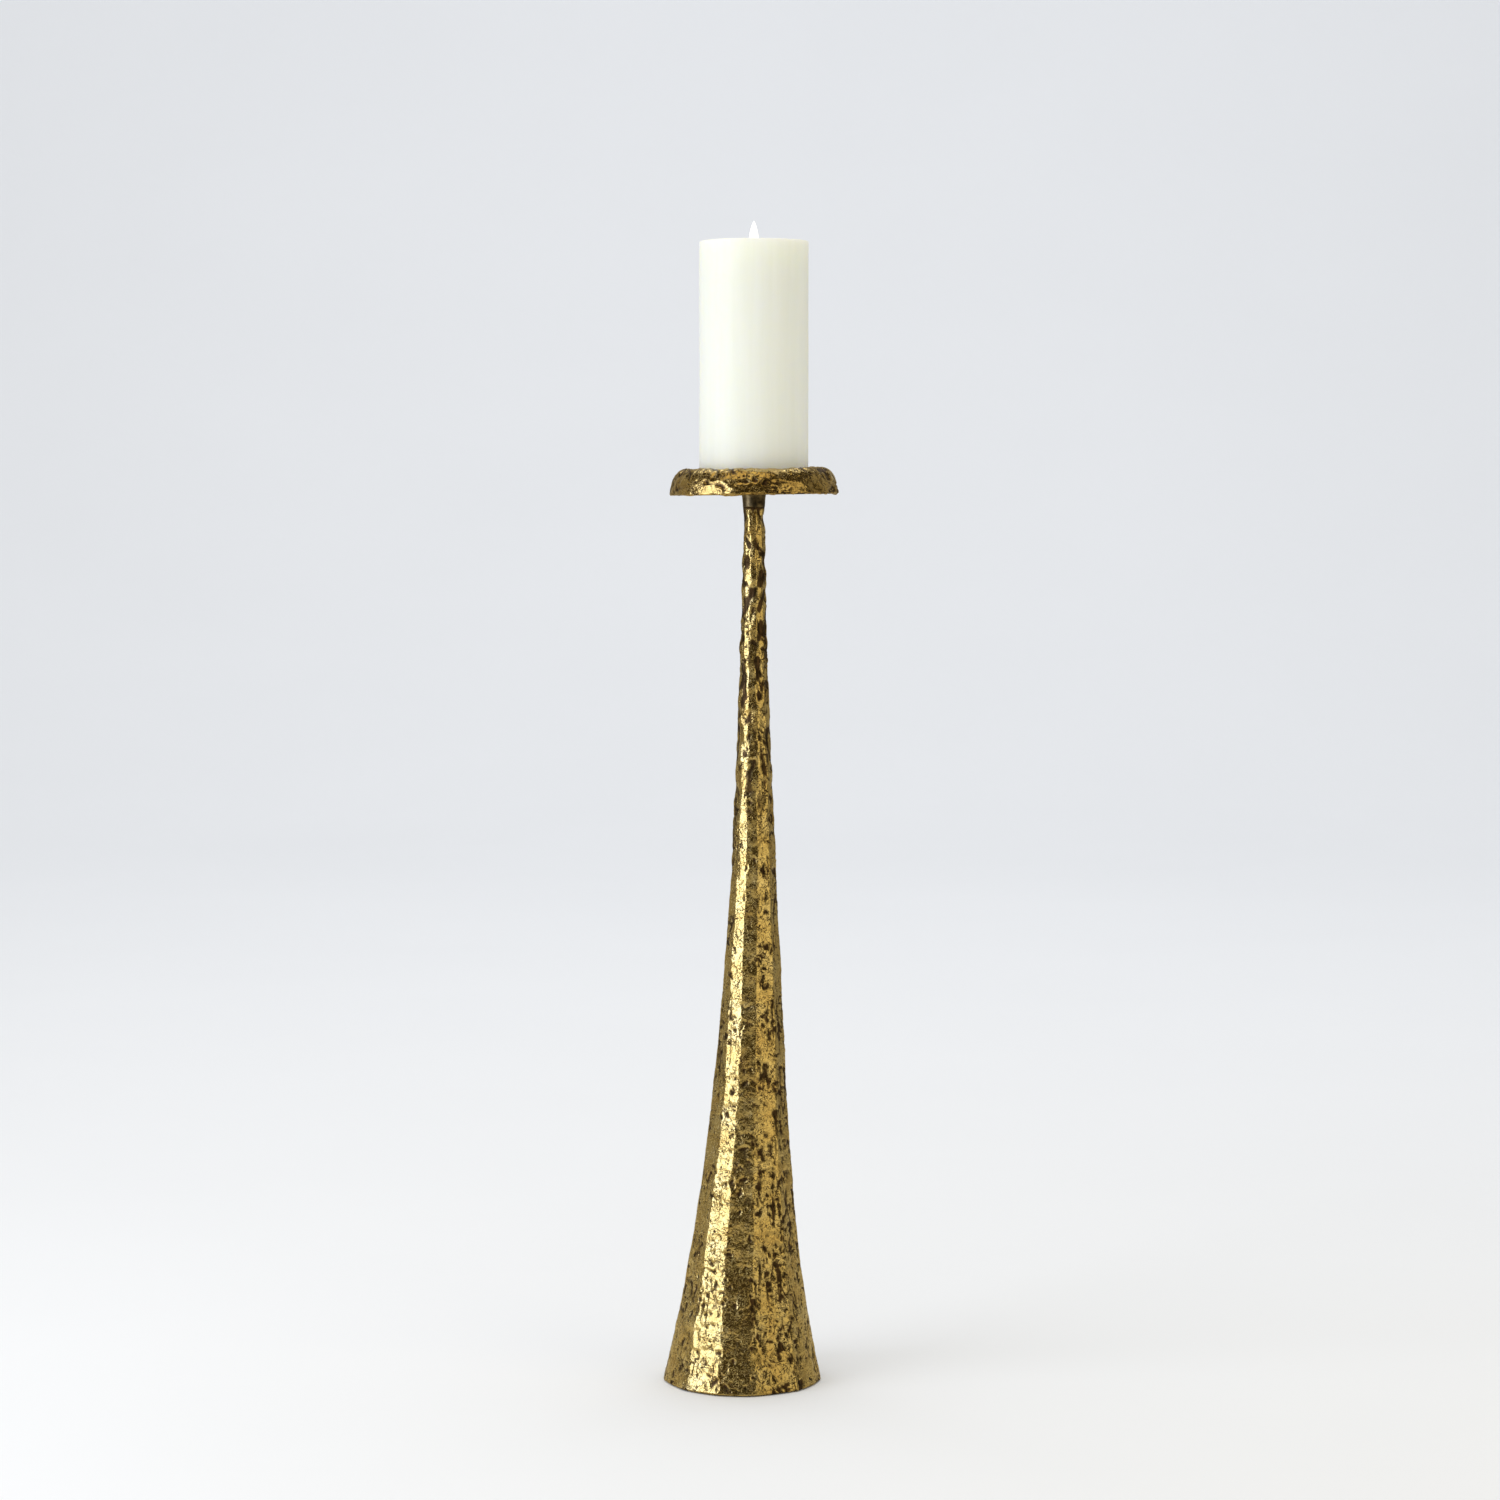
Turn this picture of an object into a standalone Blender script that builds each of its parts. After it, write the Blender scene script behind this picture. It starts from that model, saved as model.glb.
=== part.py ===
"""Tall cast pillar candle holder, standing, with the flameless pillar candle that it holds.

The holder is a hollow flared stem, a drip pan with a rolled lip and a small turned collar between them,
drawn together by one screw. A steel plate and a felt disc close the foot. The candle is a wax shell round
a battery module, whose flame is a thin paddle that hangs on a wire and is swung by a magnet and a coil.

The origin is the centre of the felt's underside. +Z is up and -Y is the front. The casting leans a little,
so the pan and the candle share an axis that stands HEAD_X to the right of the foot's centre.
"""

import math

import bmesh
import bpy
from mathutils import Matrix, Vector

MM = 0.001
GAP = 0.3 * MM  # between pieces that touch on the real object

# Driving dimensions of the holder
FOOT_RADIUS = 57.0 * MM
NECK_RADIUS = 7.5 * MM
PAN_RADIUS = 59.2 * MM
STEM_TOP = 619.7 * MM
PAN_BOTTOM = 628.5 * MM
PAN_TOP = 646.9 * MM
WELL_FLOOR = 639.0 * MM
HEAD_X = 8.2 * MM

# The stem: how it flares, how it leans and how thick it is
FOOT_EDGE = 1.0 * MM  # height of the casting's lower edge, just above what the felt stands on
FLARE_SHOULDER = 0.665  # share of the flare that grows evenly from neck to foot
LEAN_HEIGHT = 400.0 * MM
LEAN_POWER = 1.4
STEM_WALL = 4.5 * MM
CORE_TOP = 458.0 * MM
STEM_ROWS = 18
CORE_ROWS = 10

# The foot: felt, plate and the three lugs that the plate is screwed to
FELT_RADIUS = 50.0 * MM
FELT_TOP = 1.9 * MM
PLATE_RADIUS = 50.4 * MM
PLATE_BOTTOM = FELT_TOP + GAP
PLATE_TOP = PLATE_BOTTOM + 4.0 * MM
LUG_RADIUS = 7.5 * MM
LUG_CIRCLE = 45.0 * MM
LUG_BOTTOM = PLATE_TOP + GAP
LUG_TOP = 16.5 * MM
LUG_ANGLES = (90, 210, 330)

# Screws: shank radius, head radius, height of the countersunk head, length
BASE_SCREW = (2.0 * MM, 3.8 * MM, 2.2 * MM, 12.0 * MM)
PAN_SCREW = (4.0 * MM, 7.6 * MM, 3.6 * MM, 48.0 * MM)
HOLE_SPARE = 1.2 * MM  # how much deeper a blind hole is than its screw
PAN_FLOOR = 4.4 * MM  # thickness of the pan's floor

# The candle, measured up from its own base
CANDLE_BASE = WELL_FLOOR + GAP
CANDLE_RADIUS = 38.1 * MM
CANDLE_HEIGHT = 165.1 * MM
MODULE_RADIUS = 25.5 * MM
MODULE_TOP = 128.3 * MM
DISH_FLOOR = 150.7 * MM
GUIDE_RADIUS = 18.0 * MM
GUIDE_PLATE = 2.8 * MM
FLAME_BORE = 5.2 * MM
PIVOT_HEIGHT = 143.0 * MM
FLAME_HEIGHT = 36.1 * MM  # from the pivot to the tip
FLAME_THICKNESS = 2.4 * MM
TAIL_LENGTH = 25.7 * MM
MAGNET = (2.5 * MM, 5.0 * MM)  # radius, height
WIRE_RADIUS = 0.4 * MM
LED_RADIUS = 2.5 * MM
LED_TILT = math.radians(28)
LED_OFFSET = 11.0 * MM
CASE_TOP = 62.9 * MM
FLANGE_RADIUS = 34.2 * MM
FLANGE_TOP = 2.2 * MM
CELL_RADIUS = 7.1 * MM
CELL_LENGTH = 50.5 * MM
CELL_NUB = 1.0 * MM
CELL_X = 7.6 * MM
SPRING_LENGTH = 5.0 * MM
SPRING_RADIUS = 3.8 * MM
SPRING_WIRE = 0.4 * MM  # radius
SPRING_TURNS = 3
SPRING_STEPS = 10  # points in each turn
CONTACT_THICKNESS = 0.5 * MM
BRIDGE_BOTTOM = 3.2 * MM
COVER_RADIUS = 21.7 * MM
COVER_BOTTOM = 0.5 * MM
COVER_TOP = 5.0 * MM
TAB_BOTTOM = 3.0 * MM
TAB_REACH = 23.2 * MM
TAB_WIDTH = 9.0 * MM
TAB_ANGLES = (0, 120, 240)
UNLOCK_ANGLE = 40
CASE_ROOF = 2.0 * MM
BOSS_TOP = 76.0 * MM
BOARD_BOTTOM = 94.7 * MM
SCREW_HOLE = 1.7 * MM
MODULE_SCREW_CIRCLE = 18.0 * MM
MODULE_SCREW_ANGLES = (90, 210, 330)
SWITCH_Y = -29.4 * MM
SWITCH_TRAVEL = 5.0 * MM

# Sides of the large, middling and small round pieces
LARGE_ROUND = 36
ROUND = 24
SMALL_ROUND = 16
MERGE = 0.01 * MM

# Colour, roughness and metallic value of each material
FINISHES = {
    "antique_brass": ((0.58, 0.42, 0.18), 0.34, 1.0),
    "dark_steel": ((0.24, 0.24, 0.25), 0.45, 1.0),
    "bright_steel": ((0.62, 0.62, 0.64), 0.3, 1.0),
    "felt": ((0.05, 0.045, 0.04), 0.95, 0.0),
    "wax": ((0.86, 0.85, 0.74), 0.45, 0.0),
    "cream_plastic": ((0.83, 0.8, 0.68), 0.5, 0.0),
    "flame_plastic": ((0.95, 0.94, 0.88), 0.35, 0.0),
    "lamp_resin": ((0.9, 0.82, 0.6), 0.1, 0.0),
    "copper_wire": ((0.7, 0.33, 0.16), 0.35, 1.0),
    "circuit_board": ((0.05, 0.25, 0.12), 0.5, 0.0),
    "battery_jacket": ((0.12, 0.13, 0.15), 0.4, 0.0),
}


# Helpers


def start_scene():
    """Empties the scene and returns the part's collection and the cutters' collection."""
    for obj in list(bpy.data.objects):
        bpy.data.objects.remove(obj, do_unlink=True)
    found = []
    for name in ("pillar_candle_holder", "cutters"):
        collection = bpy.data.collections.new(name)
        bpy.context.scene.collection.children.link(collection)
        found.append(collection)
    return found


def make_material(name):
    colour, roughness, metallic = FINISHES[name]
    material = bpy.data.materials.get(name) or bpy.data.materials.new(name)
    material.use_nodes = True
    shader = material.node_tree.nodes["Principled BSDF"]
    shader.inputs["Base Color"].default_value = (*colour, 1.0)
    shader.inputs["Roughness"].default_value = roughness
    shader.inputs["Metallic"].default_value = metallic
    return material


def add_object(name, data, finish=None):
    """Links an object with this data to the part, or to the cutters when it has no finish."""
    obj = bpy.data.objects.new(name, data)
    if finish:
        PART.objects.link(obj)
        data.materials.append(make_material(finish))
    else:
        CUTTERS.objects.link(obj)
        obj.hide_render = True
        obj.display_type = "WIRE"
    return obj


def evaluated_mesh(obj):
    """The object's shape with its modifiers applied, as a new mesh with its caps welded."""
    bpy.context.view_layer.update()
    graph = bpy.context.evaluated_depsgraph_get()
    mesh = bpy.data.meshes.new_from_object(obj.evaluated_get(graph), depsgraph=graph)
    bm = bmesh.new()
    bm.from_mesh(mesh)
    bmesh.ops.remove_doubles(bm, verts=bm.verts, dist=MERGE)
    bmesh.ops.recalc_face_normals(bm, faces=bm.faces)
    bm.to_mesh(mesh)
    bm.free()
    return mesh


def shade(mesh):
    mesh.shade_smooth()
    mesh.set_sharp_from_angle(angle=math.radians(35))


def turned(name, outline, finish=None, at=(0, 0, 0), segments=ROUND, ring=False):
    """A turned shape. Its outline is a list of (radius, height) that runs down the outer side.

    A ring's outline closes on itself.
    """
    mesh = bpy.data.meshes.new(name)
    edges = [(i, i + 1) for i in range(len(outline) - 1)]
    if ring:
        edges.append((len(outline) - 1, 0))
    mesh.from_pydata([(radius, 0, height) for radius, height in outline], edges, [])
    obj = add_object(name, mesh, finish)
    obj.location = at
    screw = obj.modifiers.new("turn", "SCREW")
    screw.steps = screw.render_steps = segments
    screw.use_merge_vertices = True
    screw.merge_threshold = MERGE
    screw.use_smooth_shade = False
    return obj


def box(name, low, high, finish=None, at=(0, 0, 0)):
    low, high = Vector(low), Vector(high)
    bm = bmesh.new()
    bmesh.ops.create_cube(bm, size=1.0)
    bmesh.ops.scale(bm, vec=high - low, verts=bm.verts)
    bmesh.ops.translate(bm, vec=(low + high) / 2, verts=bm.verts)
    mesh = bpy.data.meshes.new(name)
    bm.to_mesh(mesh)
    bm.free()
    obj = add_object(name, mesh, finish)
    obj.location = at
    return obj


def cylinder(name, radius, low, high, finish=None, at=(0, 0, 0), segments=ROUND):
    """An upright cylinder between two heights."""
    bm = bmesh.new()
    bmesh.ops.create_cone(
        bm, cap_ends=True, segments=segments, radius1=radius, radius2=radius, depth=high - low
    )
    bmesh.ops.translate(bm, vec=(0, 0, (low + high) / 2), verts=bm.verts)
    mesh = bpy.data.meshes.new(name)
    bm.to_mesh(mesh)
    bm.free()
    obj = add_object(name, mesh, finish)
    obj.location = at
    return obj


def combine(obj, other, operation):
    """Adds a Boolean to obj. The other solid becomes a helper and no longer counts as a piece."""
    modifier = obj.modifiers.new(f"{operation.lower()} {other.name}", "BOOLEAN")
    modifier.operation = operation
    modifier.object = other
    modifier.solver = "EXACT"


def cut(obj, cutter):
    combine(obj, cutter, "DIFFERENCE")


def join(obj, other):
    combine(obj, other, "UNION")


def spaced(start, end, steps):
    """Evenly spaced numbers from start to end, both included."""
    return [start + (end - start) * i / steps for i in range(steps + 1)]


def arc(centre, radii, start, end, steps):
    """Outline points of an elliptical arc, with its angles in degrees from straight up, turning outwards."""
    return [
        (centre[0] + radii[0] * math.sin(angle), centre[1] + radii[1] * math.cos(angle))
        for angle in spaced(math.radians(start), math.radians(end), steps)
    ]


def on_circle(radius, degrees, height=0.0, centre_x=0.0):
    angle = math.radians(degrees)
    return (centre_x + radius * math.cos(angle), radius * math.sin(angle), height)


def countersunk_outline(shank, head, head_height, length, clearance=0.0):
    """A countersunk screw hanging head up from height 0, grown all over by the clearance."""
    rim = clearance * 2
    return [
        (0, rim),
        (head + clearance, rim),
        (head + clearance, -0.3 * MM),
        (shank + clearance, -head_height - clearance),
        (shank + clearance, -length - clearance * 4),
        (0, -length - clearance * 4),
    ]


def countersunk_screw(name, size, at, socket, upside_down=False):
    """A countersunk screw with a hexagon socket, which is (width across corners, depth)."""
    screw = turned(name, countersunk_outline(*size), "dark_steel", at)
    drive = cylinder(f"{name}_socket", socket[0] / 2, -socket[1], MM, at=at, segments=6)
    if upside_down:
        screw.rotation_euler.x = drive.rotation_euler.x = math.pi
    cut(screw, drive)


def spring(name, x, low):
    """One of the battery springs, standing at x in the candle's frame on the height low."""
    curve = bpy.data.curves.new(name, "CURVE")
    curve.dimensions = "3D"
    curve.bevel_depth = SPRING_WIRE
    curve.bevel_resolution = 2
    curve.use_fill_caps = True
    spline = curve.splines.new("POLY")
    count = SPRING_TURNS * SPRING_STEPS
    spline.points.add(count)
    heights = spaced(low + SPRING_WIRE, low + SPRING_LENGTH - SPRING_WIRE, count)
    for i, (point, height) in enumerate(zip(spline.points, heights)):
        point.co = (*on_circle(SPRING_RADIUS, 360 * i / SPRING_STEPS, height, x), 1)
    obj = add_object(name, curve, "bright_steel")
    obj.location = CANDLE_AT


# The holder


def stem_radius(height):
    """Outer radius of the stem: an even flare from the neck, with a sharper one over its last quarter."""
    down = min(max(1 - height / STEM_TOP, 0), 1)
    growth = FOOT_RADIUS - NECK_RADIUS
    return NECK_RADIUS + growth * (FLARE_SHOULDER * down**1.5 + (1 - FLARE_SHOULDER) * down**6)


def lean(height):
    """How far the casting's centre stands to the right of the foot's at this height."""
    share = min(max(height / LEAN_HEIGHT, 0), 1)
    return HEAD_X * math.sin(math.pi / 2 * share) ** LEAN_POWER


def make_stem():
    """The hollow casting, open at the foot, with three lugs inside and a tapped hole in the neck."""
    outside = [(stem_radius(z), z) for z in spaced(STEM_TOP, FOOT_EDGE, STEM_ROWS)]
    inside = [(stem_radius(z) - STEM_WALL, z) for z in spaced(FOOT_EDGE, CORE_TOP, CORE_ROWS)]
    core_end = inside.pop()[0]
    blunt_end = arc((0, CORE_TOP), (core_end, core_end), 90, 0, 3)
    outline = [(0, STEM_TOP), *outside, *inside, *blunt_end]
    turning = turned("turning", outline, segments=LARGE_ROUND)
    mesh = evaluated_mesh(turning)
    bpy.data.objects.remove(turning)
    for vertex in mesh.vertices:
        vertex.co.x += lean(vertex.co.z)
    shade(mesh)
    stem = add_object("stem", mesh, "antique_brass")

    shank, _, _, length = BASE_SCREW
    for number, degrees in enumerate(LUG_ANGLES, 1):
        at = on_circle(LUG_CIRCLE, degrees)
        lug = cylinder(f"lug_{number}", LUG_RADIUS, LUG_BOTTOM, LUG_TOP, None, at, SMALL_ROUND)
        join(stem, lug)
        depth = PLATE_BOTTOM + length + HOLE_SPARE
        hole = cylinder(f"lug_hole_{number}", shank + GAP, 0, depth, None, at, SMALL_ROUND)
        cut(stem, hole)
    shank, _, _, length = PAN_SCREW
    low = WELL_FLOOR - length - HOLE_SPARE
    tapped = cylinder("neck_hole", shank + GAP, low, STEM_TOP + MM, at=(HEAD_X, 0, 0))
    cut(stem, tapped)


def make_neck_collar():
    """The smooth turned collar under the pan, flared where it meets the pan's floor."""
    low, high = STEM_TOP + GAP, WELL_FLOOR - PAN_FLOOR - GAP
    bore = PAN_SCREW[0] + GAP
    top_radius = 13.0 * MM
    reach = 5.0 * MM
    straight = 5.0 * MM
    brim = 0.6 * MM
    flare = arc((top_radius, low + straight), (reach, high - low - straight - brim), 0, -90, 5)
    outline = [
        (bore, high),
        (top_radius, high),
        *flare,
        (NECK_RADIUS + 0.4 * MM, low + 0.4 * MM),
        (NECK_RADIUS, low),
        (bore, low),
    ]
    turned("neck_collar", outline, "antique_brass", (HEAD_X, 0, 0), ring=True)


def make_drip_pan():
    """The cast pan: a flat well, a lip that rolls over and down, and a channel behind the lip."""
    crown = 48.5 * MM
    roll_height = 14.0 * MM
    skirt = 4.0 * MM
    channel_top = PAN_TOP - 4.5 * MM
    underside = WELL_FLOOR - PAN_FLOOR
    rise = 6.0 * MM
    lip_inside = arc((crown, WELL_FLOOR), (rise, PAN_TOP - WELL_FLOOR), -82, 0, 4)
    lip_outside = arc((crown, PAN_TOP - roll_height), (PAN_RADIUS - crown, roll_height), 18, 90, 5)
    channel_spring = PAN_BOTTOM + 3.6 * MM
    channel_size = (PAN_RADIUS - skirt - crown, channel_top - channel_spring)
    channel = arc((crown, channel_spring), channel_size, 90, 0, 4)
    outline = [
        (0, WELL_FLOOR),
        (crown - rise - 0.6 * MM, WELL_FLOOR),
        *lip_inside,
        *lip_outside,
        (PAN_RADIUS, PAN_BOTTOM + 0.8 * MM),
        (PAN_RADIUS - 0.8 * MM, PAN_BOTTOM),
        (PAN_RADIUS - skirt, PAN_BOTTOM),
        *channel,
        (crown - 1.0 * MM, channel_top - 1.5 * MM),
        (crown - 1.4 * MM, underside + 1.0 * MM),
        (crown - 2.6 * MM, underside),
        (0, underside),
    ]
    pan = turned("drip_pan", outline, "antique_brass", (HEAD_X, 0, 0), segments=LARGE_ROUND)
    seat_outline = countersunk_outline(*PAN_SCREW, clearance=GAP)
    seat = turned("pan_countersink", seat_outline, at=(HEAD_X, 0, WELL_FLOOR - GAP))
    cut(pan, seat)


def make_pan_screw():
    """The screw that draws the pan and the collar down onto the stem, its head flush with the well."""
    at = (HEAD_X, 0, WELL_FLOOR - GAP)
    countersunk_screw("pan_screw", PAN_SCREW, at, socket=(5.8 * MM, 2.6 * MM))


def make_foot():
    """The steel plate that closes the foot, its three screws, and the felt disc under it."""
    centre = (0, 0, 0)
    plate = cylinder(
        "base_plate", PLATE_RADIUS, PLATE_BOTTOM, PLATE_TOP, "dark_steel", centre, LARGE_ROUND
    )
    seat_outline = countersunk_outline(*BASE_SCREW, clearance=GAP)
    socket = (2.9 * MM, 1.5 * MM)
    for number, degrees in enumerate(LUG_ANGLES, 1):
        at = on_circle(LUG_CIRCLE, degrees, PLATE_BOTTOM + GAP)
        seat = turned(f"plate_countersink_{number}", seat_outline, at=at)
        seat.rotation_euler.x = math.pi
        cut(plate, seat)
        countersunk_screw(f"base_screw_{number}", BASE_SCREW, at, socket, upside_down=True)
    cylinder("felt_pad", FELT_RADIUS, 0, FELT_TOP, "felt", centre, LARGE_ROUND)


# The candle. Its pieces are modelled from the candle's own base and stand on CANDLE_AT.

CANDLE_AT = (HEAD_X, 0, CANDLE_BASE)


def make_wax_shell():
    """The wax: a straight pillar with a dished top, bored out for the module."""
    edge = 0.8 * MM
    rim_inner = 32.2 * MM
    dish_bottom = GUIDE_RADIUS + 0.6 * MM
    bore = MODULE_RADIUS + 0.6 * MM
    flange_seat = FLANGE_RADIUS + 0.4 * MM
    flange_depth = FLANGE_TOP + GAP
    dish_size = (rim_inner - dish_bottom, CANDLE_HEIGHT - DISH_FLOOR)
    dish = arc((dish_bottom, CANDLE_HEIGHT), dish_size, 180, 90, 5)
    outline = [
        *dish,
        (CANDLE_RADIUS - edge, CANDLE_HEIGHT),
        (CANDLE_RADIUS, CANDLE_HEIGHT - edge),
        (CANDLE_RADIUS, edge),
        (CANDLE_RADIUS - edge, 0),
        (flange_seat, 0),
        (flange_seat, flange_depth),
        (bore, flange_depth),
        (bore, MODULE_TOP + GAP),
    ]
    wax = turned("wax_shell", outline, "wax", CANDLE_AT, segments=LARGE_ROUND, ring=True)
    pocket = box(
        "switch_pocket",
        (-6.2 * MM, SWITCH_Y - 3.6 * MM, 1 * MM),
        (6.2 * MM, SWITCH_Y + 4.6 * MM, 8.6 * MM),
        at=CANDLE_AT,
    )
    cut(wax, pocket)


def make_flame_guide():
    """The plastic cone in the bottom of the dish, with the flame's tube and the lamp's window behind it."""
    top, bottom = DISH_FLOOR, MODULE_TOP + GAP
    foot = MODULE_RADIUS - GAP
    wall = 1.4 * MM
    tube = FLAME_BORE + wall
    tube_bottom = PIVOT_HEIGHT - 7 * MM
    outline = [
        (FLAME_BORE, top),
        (GUIDE_RADIUS, top),
        (foot, bottom),
        (foot - wall, bottom),
        (GUIDE_RADIUS - wall, top - GUIDE_PLATE),
        (tube, top - GUIDE_PLATE),
        (tube, tube_bottom),
        (FLAME_BORE, tube_bottom),
    ]
    guide = turned("flame_guide", outline, "cream_plastic", CANDLE_AT, ring=True)
    reach = GUIDE_PLATE * 2
    window = cylinder("lamp_window", LED_RADIUS + 0.4 * MM, -reach, reach)
    window.matrix_world = lamp_matrix()
    cut(guide, window)
    reach = tube + MM
    wire_hole = cylinder("wire_hole", WIRE_RADIUS + GAP, -reach, reach, segments=SMALL_ROUND)
    wire_hole.matrix_world = wire_matrix()
    cut(guide, wire_hole)


def lamp_matrix():
    """Where the lamp's axis crosses the guide's top plate, turned to point at the flame."""
    place = Vector(CANDLE_AT) + Vector((0, LED_OFFSET, DISH_FLOOR - GUIDE_PLATE / 2))
    return Matrix.Translation(place) @ Matrix.Rotation(LED_TILT, 4, "X")


def wire_matrix():
    """The pivot wire's place: its axis runs front to back through the flame."""
    place = Vector(CANDLE_AT) + Vector((0, 0, PIVOT_HEIGHT))
    return Matrix.Translation(place) @ Matrix.Rotation(math.pi / 2, 4, "X")


def make_pivot_wire():
    reach = FLAME_BORE + 1.1 * MM  # into the tube's wall, but not through it
    wire = cylinder("pivot_wire", WIRE_RADIUS, -reach, reach, "bright_steel", segments=12)
    wire.matrix_world = wire_matrix()


def make_lamp():
    """A 5 mm lamp with its domed end towards the flame."""
    tip = -1.0 * MM
    dome = arc((0, tip - LED_RADIUS), (LED_RADIUS, LED_RADIUS), 0, 90, 3)
    base = tip - 8.6 * MM
    flange = LED_RADIUS + 0.4 * MM
    outline = [*dome, (LED_RADIUS, base + MM), (flange, base + MM), (flange, base), (0, base)]
    lamp = turned("led_lamp", outline, "lamp_resin", segments=SMALL_ROUND)
    lamp.matrix_world = lamp_matrix()


def make_flame():
    """The flame paddle, hung on the wire above its tail, and the magnet at the tail's end."""
    pivot = Vector(CANDLE_AT) + Vector((0, 0, PIVOT_HEIGHT))
    right_side = [
        (0.0, FLAME_HEIGHT),
        (1.5 * MM, 33.0 * MM),
        (2.9 * MM, 27.5 * MM),
        (3.7 * MM, 21.0 * MM),
        (3.2 * MM, 13.0 * MM),
        (2.3 * MM, 5.0 * MM),
        (2.1 * MM, 0.0),
        (1.6 * MM, -6.0 * MM),
        (1.6 * MM, -TAIL_LENGTH),
    ]
    curve = bpy.data.curves.new("flame_outline", "CURVE")
    curve.dimensions = "2D"
    curve.fill_mode = "BOTH"
    curve.extrude = FLAME_THICKNESS / 2
    spline = curve.splines.new("POLY")
    points = right_side + [(-x, z) for x, z in reversed(right_side[1:])]
    spline.points.add(len(points) - 1)
    for point, (x, z) in zip(spline.points, points):
        point.co = (x, z, 0, 1)
    spline.use_cyclic_u = True
    flat = add_object("flame_flat", curve)
    mesh = evaluated_mesh(flat)
    mesh.transform(Matrix.Rotation(math.pi / 2, 4, "X"))
    bpy.data.objects.remove(flat)
    flame = add_object("flame_tip", mesh, "flame_plastic")
    flame.location = pivot
    reach = FLAME_THICKNESS
    eye = cylinder("flame_eye", WIRE_RADIUS + 0.4 * MM, -reach, reach, segments=SMALL_ROUND)
    eye.matrix_world = wire_matrix()
    cut(flame, eye)
    radius, height = MAGNET
    top = -TAIL_LENGTH - GAP
    cylinder("flame_magnet", radius, top - height, top, "bright_steel", pivot, SMALL_ROUND)


def make_module_housing():
    """The upper half of the module: a cup with a ledge for the board and three screw bosses."""
    inner = MODULE_RADIUS - 1.8 * MM
    low = CASE_TOP + GAP
    floor = low + 2 * MM
    ledge = inner - 2.2 * MM
    ledge_top = BOARD_BOTTOM - GAP
    ledge_low = ledge_top - 1.9 * MM
    outline = [
        (0, floor),
        (inner, floor),
        (inner, ledge_low),
        (ledge, ledge_low),
        (ledge, ledge_top),
        (inner, ledge_top),
        (inner, MODULE_TOP),
        (MODULE_RADIUS, MODULE_TOP),
        (MODULE_RADIUS, low),
        (0, low),
    ]
    housing = turned("module_housing", outline, "cream_plastic", CANDLE_AT)
    for number, degrees in enumerate(MODULE_SCREW_ANGLES, 1):
        at = on_circle(MODULE_SCREW_CIRCLE, degrees, CANDLE_BASE, HEAD_X)
        boss = cylinder(f"boss_{number}", 3.6 * MM, low + MM, BOSS_TOP, None, at, SMALL_ROUND)
        join(housing, boss)
        hole = cylinder(f"boss_hole_{number}", SCREW_HOLE, low - MM, BOSS_TOP - MM, None, at, 12)
        cut(housing, hole)


def make_electronics():
    """The board on its ledge and the coil that swings the magnet above it."""
    board_top = BOARD_BOTTOM + 1.6 * MM
    cylinder("circuit_board", 23.2 * MM, BOARD_BOTTOM, board_top, "circuit_board", CANDLE_AT)
    low = board_top + GAP
    high = low + 10 * MM
    core = 1.5 * MM
    winding = 6.4 * MM
    flange = 7.5 * MM
    outline = [
        (core, high),
        (flange, high),
        (flange, high - MM),
        (winding, high - MM),
        (winding, low + MM),
        (flange, low + MM),
        (flange, low),
        (core, low),
    ]
    turned("drive_coil", outline, "copper_wire", CANDLE_AT, ring=True)


def make_battery_case():
    """The lower half of the module: the battery cup, its flange, and the groove that locks the cover."""
    inner = 22.8 * MM
    ledge = COVER_RADIUS + GAP
    groove = TAB_REACH + 0.8 * MM
    low = GAP
    ledge_top = TAB_BOTTOM - GAP
    groove_top = COVER_TOP + GAP
    outline = [
        (0, CASE_TOP),
        (MODULE_RADIUS, CASE_TOP),
        (MODULE_RADIUS, FLANGE_TOP),
        (FLANGE_RADIUS, FLANGE_TOP),
        (FLANGE_RADIUS, low),
        (ledge, low),
        (ledge, ledge_top),
        (groove, ledge_top),
        (groove, groove_top),
        (inner, groove_top),
        (inner, CASE_TOP - CASE_ROOF),
        (0, CASE_TOP - CASE_ROOF),
    ]
    case = turned("battery_case", outline, "cream_plastic", CANDLE_AT)
    notch_low = (COVER_RADIUS - 3 * MM, -TAB_WIDTH / 2 - 0.8 * MM, -MM)
    notch_high = (groove - 0.1 * MM, TAB_WIDTH / 2 + 0.8 * MM, ledge_top + 0.5 * MM)
    for number, degrees in enumerate(TAB_ANGLES, 1):
        notch = box(f"cover_notch_{number}", notch_low, notch_high, at=CANDLE_AT)
        notch.rotation_euler.z = math.radians(degrees + UNLOCK_ANGLE)
        cut(case, notch)
    hole_low = CASE_TOP - 2 * CASE_ROOF
    for number, degrees in enumerate(MODULE_SCREW_ANGLES, 1):
        at = on_circle(MODULE_SCREW_CIRCLE, degrees, CANDLE_BASE, HEAD_X)
        hole = cylinder(f"case_hole_{number}", SCREW_HOLE, hole_low, CASE_TOP + MM, None, at, 12)
        cut(case, hole)
    slot = box(
        "switch_slot",
        (-4.5 * MM, SWITCH_Y - 1.7 * MM, -MM),
        (4.5 * MM, SWITCH_Y + 1.7 * MM, 4 * MM),
        at=CANDLE_AT,
    )
    cut(case, slot)


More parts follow.
